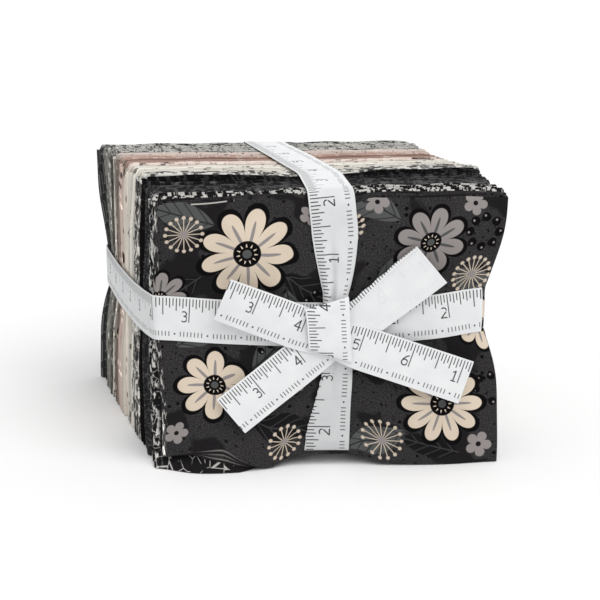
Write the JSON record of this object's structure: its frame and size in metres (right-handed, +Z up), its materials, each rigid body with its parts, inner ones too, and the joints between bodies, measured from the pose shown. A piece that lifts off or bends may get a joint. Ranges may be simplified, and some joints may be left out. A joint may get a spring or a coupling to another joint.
{
  "type": "fat quarter bundle",
  "caption": "Bundle of folded printed cotton quilting fabrics stood on edge in a block, tied both ways with a ruler-print ribbon whose knot and loose ends lie on the front.",
  "frame": {"origin": "centre of the bounding box, on the surface the bundle stands on", "axes": "+Z up; -Y towards the viewer, out of the front fabric that carries the knot; +X to the right seen from the front"},
  "size_m": [0.2068, 0.175, 0.1404],
  "materials": {
    "charcoal_floral": "printed quilting cotton, matt",
    "black_speckle": "printed quilting cotton, matt",
    "black_fleck": "printed quilting cotton, matt",
    "black_dash": "printed quilting cotton, matt",
    "white_dash": "printed quilting cotton, matt",
    "cream_plain": "printed quilting cotton, matt",
    "pink_dash": "printed quilting cotton, matt",
    "rose_tick": "printed quilting cotton, matt",
    "pale_mark": "printed quilting cotton, matt",
    "grey_fleck": "printed quilting cotton, matt",
    "slate_dot": "printed quilting cotton, matt",
    "ribbon_white": "white woven ribbon printed with a grey ruler scale"
  },
  "bodies": {
    "root": {"fat_quarter_01": "charcoal_floral", "fat_quarter_02": "black_speckle", "fat_quarter_03": "black_speckle", "fat_quarter_04": "black_fleck", "fat_quarter_05": "black_fleck", "fat_quarter_06": "black_fleck", "fat_quarter_07": "black_dash", "fat_quarter_08": "black_dash", "fat_quarter_09": "white_dash", "fat_quarter_10": "white_dash", "fat_quarter_11": "white_dash", "fat_quarter_12": "cream_plain", "fat_quarter_13": "cream_plain", "fat_quarter_14": "cream_plain", "fat_quarter_15": "cream_plain", "fat_quarter_16": "pink_dash", "fat_quarter_17": "pink_dash", "fat_quarter_18": "pink_dash", "fat_quarter_19": "rose_tick", "fat_quarter_20": "rose_tick", "fat_quarter_21": "rose_tick", "fat_quarter_22": "rose_tick", "fat_quarter_23": "pale_mark", "fat_quarter_24": "pale_mark", "fat_quarter_25": "grey_fleck", "fat_quarter_26": "grey_fleck", "fat_quarter_27": "grey_fleck", "fat_quarter_28": "grey_fleck", "fat_quarter_29": "grey_fleck", "fat_quarter_30": "slate_dot", "fat_quarter_31": "slate_dot", "fat_quarter_32": "slate_dot", "ribbon_level": "ribbon_white", "ribbon_upright": "ribbon_white", "ribbon_knot": "ribbon_white", "ribbon_tail_falling": "ribbon_white", "ribbon_tail_rising": "ribbon_white"}
  },
  "joints": []
}
